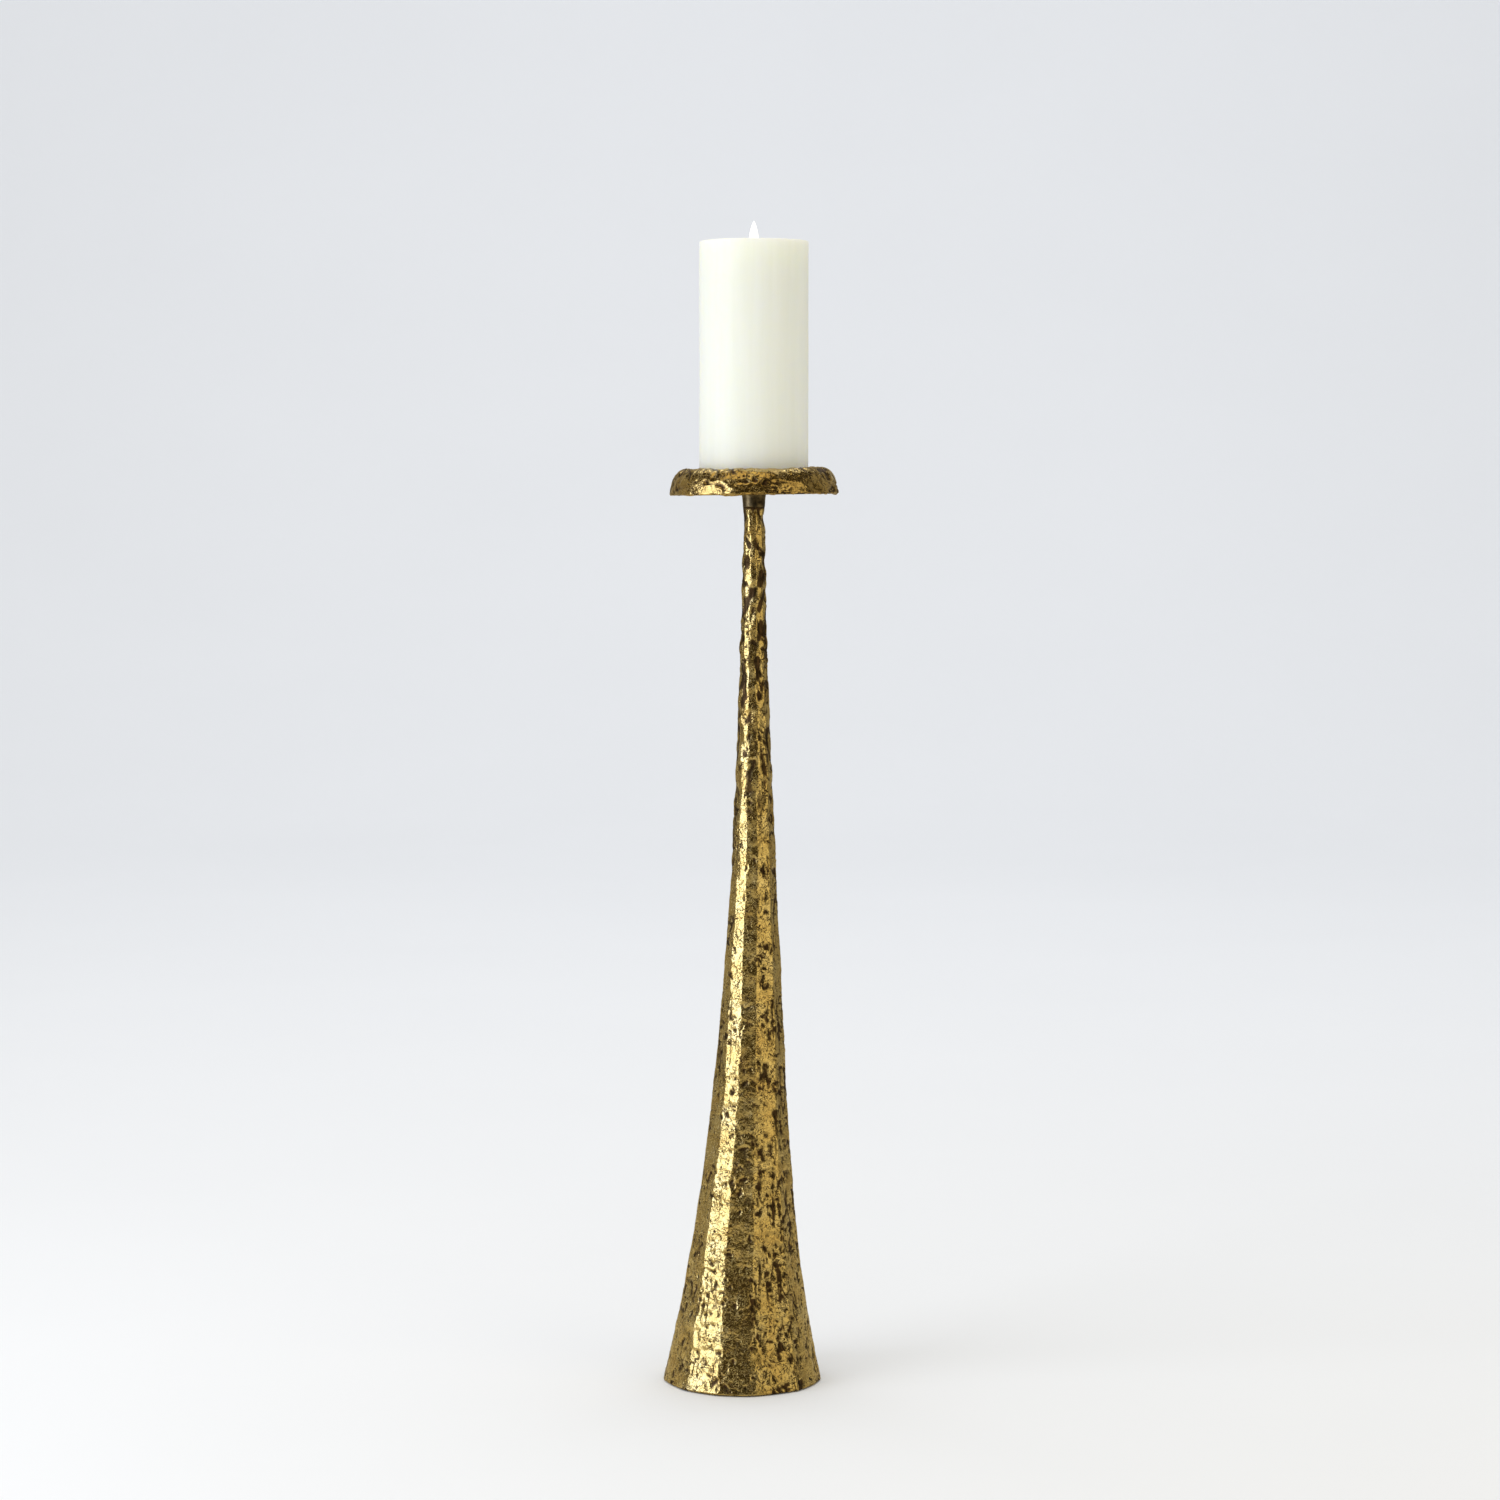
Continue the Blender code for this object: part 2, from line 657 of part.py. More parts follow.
def make_module_screws():
    """Three self-tapping screws, put in from the battery cup, that join the module's two halves."""
    head_top = CASE_TOP - CASE_ROOF - GAP
    head_low = head_top - 2.2 * MM
    tip = BOSS_TOP - 2.0 * MM
    shank, head = SCREW_HOLE - GAP, 3.0 * MM
    outline = [
        (0, tip),
        (shank, tip),
        (shank, head_top),
        (head, head_top),
        (head, head_low + 0.6 * MM),
        (head - 0.8 * MM, head_low),
        (0, head_low),
    ]
    for number, degrees in enumerate(MODULE_SCREW_ANGLES, 1):
        at = on_circle(MODULE_SCREW_CIRCLE, degrees, CANDLE_BASE, HEAD_X)
        turned(f"module_screw_{number}", outline, "dark_steel", at, SMALL_ROUND)


def make_battery_cell(name, x, low, plus_up):
    """An AA cell with its plus nub up or down."""
    body = CELL_LENGTH - CELL_NUB
    edge = 0.5 * MM
    nub = 2.7 * MM
    outline = [
        (0, CELL_LENGTH),
        (nub, CELL_LENGTH),
        (nub, body),
        (CELL_RADIUS - edge, body),
        (CELL_RADIUS, body - edge),
        (CELL_RADIUS, edge),
        (CELL_RADIUS - edge, 0),
        (0, 0),
    ]
    height = CANDLE_BASE + low
    cell = turned(name, outline, "battery_jacket", (HEAD_X + x, 0, height))
    if not plus_up:
        cell.location.z = height + CELL_LENGTH
        cell.rotation_euler.x = math.pi


def make_batteries():
    """Two cells in series, with a spring at each minus end and flat contacts at the case's top."""
    bridge_top = BRIDGE_BOTTOM + CONTACT_THICKNESS
    low, high = (-13 * MM, -5 * MM, BRIDGE_BOTTOM), (13 * MM, 5 * MM, bridge_top)
    box("bridge_contact", low, high, "bright_steel", CANDLE_AT)
    spring_low = bridge_top + GAP
    make_battery_cell("battery_cell_1", -CELL_X, spring_low + SPRING_LENGTH + GAP, True)
    make_battery_cell("battery_cell_2", CELL_X, spring_low, False)
    spring("cover_spring", -CELL_X, spring_low)
    upper_low = spring_low + CELL_LENGTH + GAP
    spring("case_spring", CELL_X, upper_low)
    contact_low = upper_low + SPRING_LENGTH + GAP
    contact_top = contact_low + CONTACT_THICKNESS
    for name, x in (("plus_contact", -CELL_X), ("minus_contact", CELL_X)):
        low, high = (x - 6 * MM, -4.5 * MM, contact_low), (x + 6 * MM, 4.5 * MM, contact_top)
        box(name, low, high, "bright_steel", CANDLE_AT)


def make_battery_cover():
    """The round cover under the candle: three bayonet tabs, and a slot for a coin."""
    disc_top = BRIDGE_BOTTOM - GAP
    rim_inner = COVER_RADIUS - 2.2 * MM
    outline = [
        (0, disc_top),
        (rim_inner, disc_top),
        (rim_inner, COVER_TOP),
        (COVER_RADIUS, COVER_TOP),
        (COVER_RADIUS, COVER_BOTTOM),
        (0, COVER_BOTTOM),
    ]
    cover = turned("battery_cover", outline, "cream_plastic", CANDLE_AT)
    tab_low = (rim_inner + 0.6 * MM, -TAB_WIDTH / 2, TAB_BOTTOM)
    tab_high = (TAB_REACH, TAB_WIDTH / 2, COVER_TOP)
    for number, degrees in enumerate(TAB_ANGLES, 1):
        tab = box(f"cover_tab_{number}", tab_low, tab_high, at=CANDLE_AT)
        tab.rotation_euler.z = math.radians(degrees)
        join(cover, tab)
    slot_low = (-12 * MM, -1.5 * MM, -MM)
    slot_high = (12 * MM, 1.5 * MM, COVER_BOTTOM + 1.2 * MM)
    slot = box("coin_slot", slot_low, slot_high, at=CANDLE_AT)
    cut(cover, slot)


def make_switch():
    """The slide switch in the flange: a fixed body, and the knob that slides in the slot."""
    body_low = (-5.5 * MM, SWITCH_Y - 3 * MM, FLANGE_TOP + GAP)
    body_high = (5.5 * MM, SWITCH_Y + 3 * MM, 7.5 * MM)
    box("switch_body", body_low, body_high, "bright_steel", CANDLE_AT)
    knob_x = -SWITCH_TRAVEL / 2
    knob_low = (knob_x - 1.5 * MM, SWITCH_Y - 1.3 * MM, 0.6 * MM)
    knob_high = (knob_x + 1.5 * MM, SWITCH_Y + 1.3 * MM, FLANGE_TOP)
    box("timer_switch", knob_low, knob_high, "dark_steel", CANDLE_AT)


PART, CUTTERS = start_scene()
make_stem()
make_neck_collar()
make_drip_pan()
make_pan_screw()
make_foot()
make_wax_shell()
make_flame_guide()
make_pivot_wire()
make_lamp()
make_flame()
make_module_housing()
make_electronics()
make_battery_case()
make_module_screws()
make_batteries()
make_battery_cover()
make_switch()
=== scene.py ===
"""Looks of the tall cast candle holder and its flameless candle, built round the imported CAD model.

The casting, the pan, the collar, the wax and the flame get detailed meshes that stand for their CAD nodes.
Every other CAD node stays as it is and gets a procedural material. Sizes are in metres, in the model's
frame: +Z is up and the front faces -Y. The stem stands on the frame's Z axis and leans to the pan's.
"""

import math

import bmesh
import bpy
from mathutils import Matrix, Vector, noise


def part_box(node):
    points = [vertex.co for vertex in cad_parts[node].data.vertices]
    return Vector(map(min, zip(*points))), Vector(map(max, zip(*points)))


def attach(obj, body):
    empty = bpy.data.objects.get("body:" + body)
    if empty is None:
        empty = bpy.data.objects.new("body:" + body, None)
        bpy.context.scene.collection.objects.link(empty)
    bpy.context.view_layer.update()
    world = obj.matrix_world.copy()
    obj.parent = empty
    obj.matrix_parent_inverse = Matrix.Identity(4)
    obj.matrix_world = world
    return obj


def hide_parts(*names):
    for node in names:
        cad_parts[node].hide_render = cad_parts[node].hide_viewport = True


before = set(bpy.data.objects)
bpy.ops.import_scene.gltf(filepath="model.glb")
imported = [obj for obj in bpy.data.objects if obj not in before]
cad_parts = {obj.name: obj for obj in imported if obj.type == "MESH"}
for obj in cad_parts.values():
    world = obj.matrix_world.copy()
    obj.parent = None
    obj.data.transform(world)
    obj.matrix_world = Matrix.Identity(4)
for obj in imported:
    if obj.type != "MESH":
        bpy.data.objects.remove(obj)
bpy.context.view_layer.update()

MM = 0.001

# noise.noise_vector takes its offsets from this seed. Unset, they would differ from run to run.
NOISE_SEED = 3
noise.seed_set(NOISE_SEED)

# Places and sizes taken from the frame
STEM_LOW, STEM_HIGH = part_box("stem")
PAN_LOW, PAN_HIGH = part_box("drip_pan")
COLLAR_LOW, COLLAR_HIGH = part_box("neck_collar")
WAX_LOW, WAX_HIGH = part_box("wax_shell")
FLAME_LOW, FLAME_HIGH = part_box("flame_tip")
WIRE_LOW, WIRE_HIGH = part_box("pivot_wire")
SWITCH_LOW, SWITCH_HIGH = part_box("switch_body")
SCREW_LOW, SCREW_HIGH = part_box("pan_screw")
HEAD_X = (PAN_LOW.x + PAN_HIGH.x) / 2
FOOT_RADIUS = STEM_HIGH.y
FOOT_EDGE = STEM_LOW.z
STEM_TOP = STEM_HIGH.z
PAN_RADIUS = PAN_HIGH.y
WAX_RADIUS = WAX_HIGH.y
PIVOT = Vector((HEAD_X, 0, (WIRE_LOW.z + WIRE_HIGH.z) / 2))

# The stem's flare and lean, and the thickness of its wall
NECK_RADIUS = 7.5 * MM
FLARE_SHOULDER = 0.665
LEAN_HEIGHT = 400 * MM
LEAN_POWER = 1.4
STEM_WALL = 4.5 * MM
CORE_TOP = 458 * MM

# The hole for the pan screw, through the pan and the collar into the neck
SCREW_HOLE_RADIUS = 4.3 * MM

# Rings of the stem's skin, from the foot up: (height where the band ends, points round, ring spacing)
STEM_BANDS = (
    (150 * MM, 300, 1.05 * MM),
    (400 * MM, 150, 1.15 * MM),
    (STEM_TOP, 75, 1.3 * MM),
)

# Where the hammered facets meet, in degrees from the front towards +X, and how far a ridge wanders
FACET_RIDGES = (-105, -78, -46, -19, 8, 45, 80, 112, 150, 186, 222)
RIDGE_DRIFT = 4.0

# Points round the other pieces
WAX_SIDES = 144
PAN_SIDES = 320
COLLAR_SIDES = 72
FLAME_SIDES = 32

# Colours of the cast metal's patches, from the dullest to the brightest
BRIGHT_BRASS = ((0.66, 0.48, 0.18), (0.75, 0.59, 0.25), (0.82, 0.68, 0.35))
TARNISHED_BRASS = ((0.48, 0.33, 0.12), (0.62, 0.45, 0.17), (0.74, 0.57, 0.25))


# Small helpers


def smoothstep(low, high, x):
    share = min(max((x - low) / (high - low), 0), 1)
    return share * share * (3 - 2 * share)


def mix(a, b, share):
    return a + (b - a) * share


def spaced(start, end, step):
    """Even steps from start to end, both included, none longer than step."""
    count = max(math.ceil(abs(end - start) / step), 1)
    return [mix(start, end, i / count) for i in range(count + 1)]


def arc(centre, radii, start, end, steps):
    """Points of an elliptical arc in (radius, height), with its angles in degrees from straight up."""
    first, last = math.radians(start), math.radians(end)
    return [
        (centre[0] + radii[0] * math.sin(angle), centre[1] + radii[1] * math.cos(angle))
        for angle in spaced(first, last, abs(last - first) / steps)
    ]


def on_axis(radius, degrees, height, centre_x=0.0):
    """A point round an upright axis, at an angle from the front towards +X."""
    angle = math.radians(degrees)
    return Vector((centre_x + radius * math.sin(angle), -radius * math.cos(angle), height))


def along_normal(normal, degrees):
    """The direction in space of a section's normal, turned to an angle round the axis."""
    return on_axis(1, degrees, 0) * normal.x + Vector((0, 0, normal.z))


# Meshes


def place_object(name, data):
    """A new object in the scene that shows a mesh, a light or a camera."""
    obj = bpy.data.objects.new(name, data)
    bpy.context.scene.collection.objects.link(obj)
    return obj


def finish_bmesh(name, bm):
    """A mesh made from bm, which is freed."""
    mesh = bpy.data.meshes.new(name)
    bm.to_mesh(mesh)
    bm.free()
    return mesh


def join_rings(lower, upper):
    """Faces between two rings of vertex numbers. One may be a single point or have twice as many."""
    if len(lower) < len(upper):
        return [face[::-1] for face in join_rings(upper, lower)]
    count = len(upper)
    if count == 1:
        return [(a, b, upper[0]) for a, b in zip(lower, lower[1:] + lower[:1])]
    if len(lower) == count:
        return [
            (lower[i], lower[(i + 1) % count], upper[(i + 1) % count], upper[i])
            for i in range(count)
        ]
    faces = []
    for i in range(count):
        left, middle, right = (lower[(2 * i + k) % len(lower)] for k in range(3))
        top_left, top_right = upper[i], upper[(i + 1) % count]
        faces += [(left, middle, top_left), (middle, top_right, top_left), (middle, right, top_right)]
    return faces


def skin(name, rings, looped=False):
    """A smooth closed object over rings of (point, patina). Looped joins the last ring to the first."""
    points, patina, numbered = [], [], []
    for ring in rings:
        numbered.append(list(range(len(points), len(points) + len(ring))))
        points += [point for point, _ in ring]
        patina += [dark for _, dark in ring]
    pairs = list(zip(numbered, numbered[1:]))
    if looped:
        pairs.append((numbered[-1], numbered[0]))
    faces = [face for lower, upper in pairs for face in join_rings(lower, upper)]
    mesh = bpy.data.meshes.new(name)
    mesh.from_pydata(points, [], faces)
    depth = mesh.attributes.new("patina", "FLOAT", "POINT")
    depth.data.foreach_set("value", patina)
    bm = bmesh.new()
    bm.from_mesh(mesh)
    bmesh.ops.recalc_face_normals(bm, faces=bm.faces)
    bm.to_mesh(mesh)
    bm.free()
    mesh.shade_smooth()
    return place_object(name, mesh)


def plain_ring(radius, height, count, centre_x=0.0, patina=0.4):
    """A round ring for a skin. A radius of 0 gives the single point that closes it."""
    if radius == 0:
        return [(Vector((centre_x, 0, height)), patina)]
    return [(on_axis(radius, 360 * i / count, height, centre_x), patina) for i in range(count)]


def cut_away(obj, cutter):
    """Takes the cutter's space out of obj for good and removes the cutter."""
    modifier = obj.modifiers.new("cut", "BOOLEAN")
    modifier.operation = "DIFFERENCE"
    modifier.solver = "EXACT"
    modifier.object = cutter
    bpy.context.view_layer.update()
    graph = bpy.context.evaluated_depsgraph_get()
    cut = bpy.data.meshes.new_from_object(obj.evaluated_get(graph), depsgraph=graph)
    obj.modifiers.clear()
    obj.data = cut
    bpy.data.objects.remove(cutter)


def stand_for(obj, body, node, material):
    """obj rides on the body in the CAD node's place, with this material."""
    obj.data.materials.clear()
    obj.data.materials.append(material)
    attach(obj, body)
    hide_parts(node)


# Relief of the cast metal


def pits(place, share):
    """1 at the floor of a round pit and 0 outside. place is in pit widths. share of the cells hold one."""
    distances, centres = noise.voronoi(place)
    if noise.cell(centres[0] * 31.7) * 0.5 + 0.5 > share:
        return 0.0
    return smoothstep(0.5, 0.18, distances[0])


def worms(place):
    """1 along thin wandering grooves and 0 between them. place is in groove spacings."""
    swirl = place + noise.noise_vector(place * 0.6) * 0.8
    return smoothstep(0.16, 0.02, abs(noise.noise(swirl)))


def cast_relief(point, stretch, crumple=1.0, pitted=0.0):
    """Relief in metres and patina from 0 to 1 of the molten skin at a point.

    stretch squeezes the sampling place, so that grooves run along the axis with the smallest factor.
    crumple scales the leathery wrinkles, and pitted from 0 to 1 adds big pits and grooves.
    """
    place = Vector((point.x * stretch.x, point.y * stretch.y, point.z * stretch.z))
    patches = noise.noise(point / (26 * MM)) + 0.5 * noise.noise(point / (9 * MM))
    rough = smoothstep(-0.25, 0.35, patches + 0.3 * pitted)
    streak = noise.noise(place / (3.4 * MM))
    swirl = point + noise.noise_vector(point / (8 * MM)) * 4 * MM
    swirl += noise.noise_vector(point / (3 * MM)) * 1.2 * MM
    lumps = noise.noise(swirl / (5.2 * MM))
    leather = noise.noise(swirl / (2.7 * MM))
    big = pits(swirl / (5.6 * MM), 0.1 + (0.3 + 0.35 * pitted) * rough)
    small = pits(swirl / (3.1 * MM) + Vector((7, 3, 5)), 0.1 + 0.5 * rough) * rough
    grooves = worms(place / (5.0 * MM)) * (0.2 + 0.8 * rough)
    raised = 0.22 * streak + 0.22 * lumps + 0.16 * crumple * leather
    relief = raised - 0.7 * big - 0.5 * small - 0.4 * grooves
    patina = big + 0.8 * small + (0.5 + 0.4 * pitted) * grooves - 0.25 * streak - 0.2 * leather
    return relief * MM, min(max(patina, 0), 1)


# The stem


def stem_radius(height):
    """Outer radius of the plain flared stem, as in the CAD model."""
    down = min(max(1 - height / STEM_TOP, 0), 1)
    growth = FOOT_RADIUS - NECK_RADIUS
    return NECK_RADIUS + growth * (FLARE_SHOULDER * down**1.5 + (1 - FLARE_SHOULDER) * down**6)


def lean(height):
    """How far the casting's centre stands to the right of the foot's, as in the CAD model."""
    share = min(max(height / LEAN_HEIGHT, 0), 1)
    return HEAD_X * math.sin(math.pi / 2 * share) ** LEAN_POWER


def facet_share(degrees, height):
    """Radius of the hammered facets as a share of the round stem's: 1 on a ridge and less between two."""
    ridges = [
        ridge + RIDGE_DRIFT * noise.noise(Vector((number * 9.1, 3.7, height / (110 * MM))))
        for number, ridge in enumerate(FACET_RIDGES)
    ]
    ridges.append(ridges[0] + 360)
    while degrees < ridges[0]:
        degrees += 360
    while degrees >= ridges[-1]:
        degrees -= 360
    left, right = next((a, b) for a, b in zip(ridges, ridges[1:]) if a <= degrees < b)
    half = math.radians(right - left) / 2
    return math.cos(half) / math.cos(math.radians(degrees - left) - half)


def stem_point(degrees, height):
    """A point of the casting's rough outside, with its patina. The slender neck is lumpier and darker."""
    base = stem_radius(height)
    plain = on_axis(base, degrees, height)
    slender = smoothstep(330 * MM, 470 * MM, height)
    flat = mix(mix(0.4, 0.88, smoothstep(0, 130 * MM, height)), 0.6, slender)
    radius = base * mix(1, facet_share(degrees, height), flat)
    broad = noise.noise(plain / (34 * MM) + Vector((4, 9, 2)))
    wavy = noise.noise(plain / (11 * MM) + Vector((1, 5, 8)))
    radius += (0.7 * (1 - slender) * broad + mix(0.25, 1.0, slender) * wavy) * MM
    facing = (degrees + 180) % 360 - 180
    right_flank = smoothstep(0, 25, facing) * smoothstep(130, 100, facing)
    left_flank = smoothstep(-45, -65, facing)
    relief, patina = cast_relief(plain, Vector((1, 1, 0.14)), pitted=right_flank + 0.7 * left_flank)
    blobs = noise.noise(Vector((plain.x, plain.y, plain.z * 0.6)) / (5 * MM) + Vector((6, 2, 9)))
    patina = max(patina, slender * smoothstep(0.0, -0.35, blobs))
    edge = smoothstep(0, 5 * MM, height - FOOT_EDGE)
    radius += (relief + 0.8 * slender * blobs * MM) * mix(0.3, 1, edge)
    join = smoothstep(0, 3 * MM, STEM_TOP - height)
    radius = mix(NECK_RADIUS + 0.1 * MM, radius, join)
    return on_axis(radius, degrees, height, lean(height)), mix(1, patina, join)


def make_stem(brass):
    """The hollow casting: its rough outside, the tapped bore in its neck and its smooth core."""
    foot_count, neck_count = STEM_BANDS[0][1], STEM_BANDS[-1][1]
    rings = [
        plain_ring(0, SCREW_LOW.z, 1, HEAD_X),
        plain_ring(SCREW_HOLE_RADIUS, SCREW_LOW.z, neck_count, HEAD_X),
        plain_ring(SCREW_HOLE_RADIUS, STEM_TOP, neck_count, HEAD_X),
        plain_ring(NECK_RADIUS - 0.5 * MM, STEM_TOP, neck_count, HEAD_X, 1.0),
    ]
    outside = []
    low = FOOT_EDGE
    for high, count, step in STEM_BANDS:
        heights = spaced(low, high, step)
        if low > FOOT_EDGE:
            heights = heights[1:]
        for height in heights:
            outside.append([stem_point(360 * i / count, height) for i in range(count)])
        low = high
    rings += outside[::-1]

    core_end = stem_radius(CORE_TOP) - STEM_WALL
    inside = [(stem_radius(z) - STEM_WALL, z) for z in spaced(FOOT_EDGE, CORE_TOP, 30 * MM)]
    inside += arc((0, CORE_TOP), (core_end, core_end), 90, 0, 4)[1:]
    counts = [foot_count, foot_count // 2] + [neck_count] * (len(inside) - 3)
    for (radius, height), count in zip(inside, counts):
        rings.append(plain_ring(radius, height, count, lean(height), 0.9))
    rings.append(plain_ring(0, inside[-1][1], 1, lean(CORE_TOP), 0.9))
    stand_for(skin("cast_stem", rings), "holder", "stem", brass)


# The pan and the collar


def resample(outline, step):
    """Evenly spaced points along an outline of (radius, height), each with its outward normal."""
    found = []
    for (r0, z0), (r1, z1) in zip(outline, outline[1:]):
        length = math.hypot(r1 - r0, z1 - z0)
        count = max(round(length / step), 1)
        normal = Vector((-(z1 - z0), 0, r1 - r0)).normalized()
        found += [(mix(r0, r1, i / count), mix(z0, z1, i / count), normal) for i in range(count)]
    return found


def pan_outline():
    """Section of the pan: from the screw hole over the well and the lip, down the skirt and back under."""
    well = PAN_HIGH.z - 7.9 * MM
    floor = 4.4 * MM
    sink_radius, sink_depth = 7.9 * MM, 0.6 * MM
    crown = 48.0 * MM
    roll_height = 17.5 * MM
    skirt = 4.0 * MM
    channel_top = PAN_HIGH.z - 4.5 * MM
    underside = well - floor
    channel_spring = PAN_LOW.z + 3.6 * MM
    channel_size = (PAN_RADIUS - skirt - crown, channel_top - channel_spring)
    return [
        (SCREW_HOLE_RADIUS, underside),
        (SCREW_HOLE_RADIUS, well - sink_depth - (sink_radius - SCREW_HOLE_RADIUS)),
        (sink_radius, well - sink_depth),
        (sink_radius, well),
        (crown - 6.6 * MM, well),
        *arc((crown, well), (6.0 * MM, PAN_HIGH.z - well), -82, 0, 10),
        *arc((crown, PAN_HIGH.z - roll_height), (PAN_RADIUS - crown, roll_height), 6, 90, 14),
        (PAN_RADIUS, PAN_LOW.z + 0.8 * MM),
        (PAN_RADIUS - 0.8 * MM, PAN_LOW.z),
        (PAN_RADIUS - skirt, PAN_LOW.z),
        *arc((crown, channel_spring), channel_size, 90, 0, 8),
        (crown - 1.0 * MM, channel_top - 1.5 * MM),
        (crown - 1.4 * MM, underside + 1.0 * MM),
        (crown - 2.6 * MM, underside),
    ]


def pan_point(radius, height, normal, degrees):
    """A point of the pan's skin: rough on the lip, and plain where the candle and the collar sit."""
    plain = on_axis(radius, degrees, height, HEAD_X)
    lip = smoothstep(41 * MM, 46 * MM, radius)
    along = on_axis(PAN_RADIUS * 0.35, degrees, height + radius)
    relief, patina = cast_relief(plain.lerp(along, 0.6), Vector((1, 1, 1)), crumple=2.0, pitted=0.8)
    swell = noise.noise(plain / (17 * MM) + Vector((3, 1, 4))) * 0.9 * MM
    push = (relief * 1.3 + swell) * lip
    point = plain + along_normal(normal, degrees) * push
    tilt = (plain.x - HEAD_X) / PAN_RADIUS * 0.8 * MM
    point.z += tilt * lip
    return point, mix(0.35, patina, max(lip, 0.3))


def pan_ring_count(radius):
    """Points in a ring of the pan: fewer towards the middle."""
    if radius > 38 * MM:
        return PAN_SIDES
    if radius > 16 * MM:
        return PAN_SIDES // 2
    return PAN_SIDES // 4


def make_pan(brass):
    """The cast drip pan with its flat well and its rolled lip."""
    outline = pan_outline()
    rings = []
    for radius, height, normal in resample(outline + outline[:1], 1.1 * MM):
        count = pan_ring_count(radius)
        rings.append([pan_point(radius, height, normal, 360 * i / count) for i in range(count)])
    stand_for(skin("cast_pan", rings, looped=True), "holder", "drip_pan", brass)


def make_collar(brass):
    """The smooth turned collar, slightly dented by hand. It laps over the end of the neck."""
    lap = 0.5 * MM
    low, high = COLLAR_LOW.z - lap, COLLAR_HIGH.z
    top_radius = COLLAR_HIGH.y
    straight, brim = 5.0 * MM, 0.6 * MM
    flare = arc((top_radius, low + straight), (5.0 * MM, high - low - straight - brim), 0, -90, 12)
    outline = [
        (SCREW_HOLE_RADIUS, low),
        (SCREW_HOLE_RADIUS, high),
        (top_radius, high),
        *flare,
        (NECK_RADIUS + 0.4 * MM, low + 0.4 * MM),
        (NECK_RADIUS, low),
    ]
    rings = []
    for radius, height, _ in resample(outline + outline[:1], 0.9 * MM):
        ring = []
        for i in range(COLLAR_SIDES):
            degrees = 360 * i / COLLAR_SIDES
            point = on_axis(radius, degrees, height, HEAD_X)
            if radius > SCREW_HOLE_RADIUS:
                dent = noise.noise(point / (6 * MM)) * 0.25 * MM
                point = on_axis(radius + dent, degrees, height, HEAD_X)
            ring.append((point, 0.0))
        rings.append(ring)
    stand_for(skin("turned_collar", rings, looped=True), "holder", "neck_collar", brass)


# The candle


def wax_outline():
    """Section of the wax: up the dish, over the rim, down the side and up the bore for the module."""
    base, top = WAX_LOW.z, WAX_HIGH.z
    dish_floor = base + 150.7 * MM
    dish_bottom = 18.6 * MM
    dish_size = (32.2 * MM - dish_bottom, top - dish_floor)
    bore, seat, seat_depth = 26.1 * MM, 34.6 * MM, 2.5 * MM
    bore_top = base + 128.6 * MM
    rim, rim_edge = 32.8 * MM, 0.6 * MM
    edge = 0.8 * MM
    return [
        *arc((dish_bottom, top), dish_size, 180, 95, 16),
        *arc((rim, top - rim_edge), (rim_edge, rim_edge), -80, 0, 3),
        *arc((WAX_RADIUS - edge, top - edge), (edge, edge), 10, 90, 4),
        *arc((WAX_RADIUS - edge, base + edge), (edge, edge), 90, 180, 4),
        (seat, base),
        (seat, base + seat_depth),
        (bore, base + seat_depth),
        (bore, bore_top),
    ]


def switch_pocket():
    """A block that fills the switch's pocket in the wax."""
    low = SWITCH_LOW - Vector((0.7, 0.6, 1.5)) * MM
    high = SWITCH_HIGH + Vector((0.7, 1.6, 1.1)) * MM
    bm = bmesh.new()
    bmesh.ops.create_cube(bm, size=1.0)
    bmesh.ops.scale(bm, vec=high - low, verts=bm.verts)
    bmesh.ops.translate(bm, vec=(low + high) / 2, verts=bm.verts)
    return place_object("switch_pocket", finish_bmesh("switch_pocket", bm))


def make_wax(wax):
    """The wax pillar with its dished top, bored for the module and pocketed for the switch."""
    outline = wax_outline()
    rings = []
    for radius, height, normal in resample(outline + outline[:1], 3.5 * MM):
        shown = smoothstep(27 * MM, 31 * MM, radius)
        ring = []
        for i in range(WAX_SIDES):
            degrees = 360 * i / WAX_SIDES
            point = on_axis(radius, degrees, height, HEAD_X)
            place = Vector((point.x, point.y, point.z * 0.3)) / (16 * MM)
            wave = noise.noise(place) * 0.16 * MM * shown
            ring.append((point + along_normal(normal, degrees) * wave, 0.0))
        rings.append(ring)
    pillar = skin("wax_pillar", rings, looped=True)
    cut_away(pillar, switch_pocket())
    stand_for(pillar, "candle", "wax_shell", wax)


def flame_half_width(height):
    """Half width of the flame paddle at a height above its pivot: a teardrop on a narrow tail."""
    tip = FLAME_HIGH.z - PIVOT.z
    tail, belly = 1.6 * MM, 3.6 * MM
    belly_height = 20 * MM
    if height > belly_height:
        up = (height - belly_height) / (tip - belly_height)
        return belly * (1 - up**1.6) ** 0.75
    return mix(tail, belly, smoothstep(-8 * MM, belly_height, height))


def wire_eye():
    """A rod along the pivot wire, wider than it, that cuts the flame's eye."""
    radius = (WIRE_HIGH.x - WIRE_LOW.x) / 2 + 0.4 * MM
    bm = bmesh.new()
    bmesh.ops.create_cone(bm, cap_ends=True, segments=24, radius1=radius, radius2=radius, depth=10 * MM)
    mesh = finish_bmesh("eye", bm)
    mesh.transform(Matrix.Translation(PIVOT) @ Matrix.Rotation(math.pi / 2, 4, "X"))
    return place_object("eye", mesh)


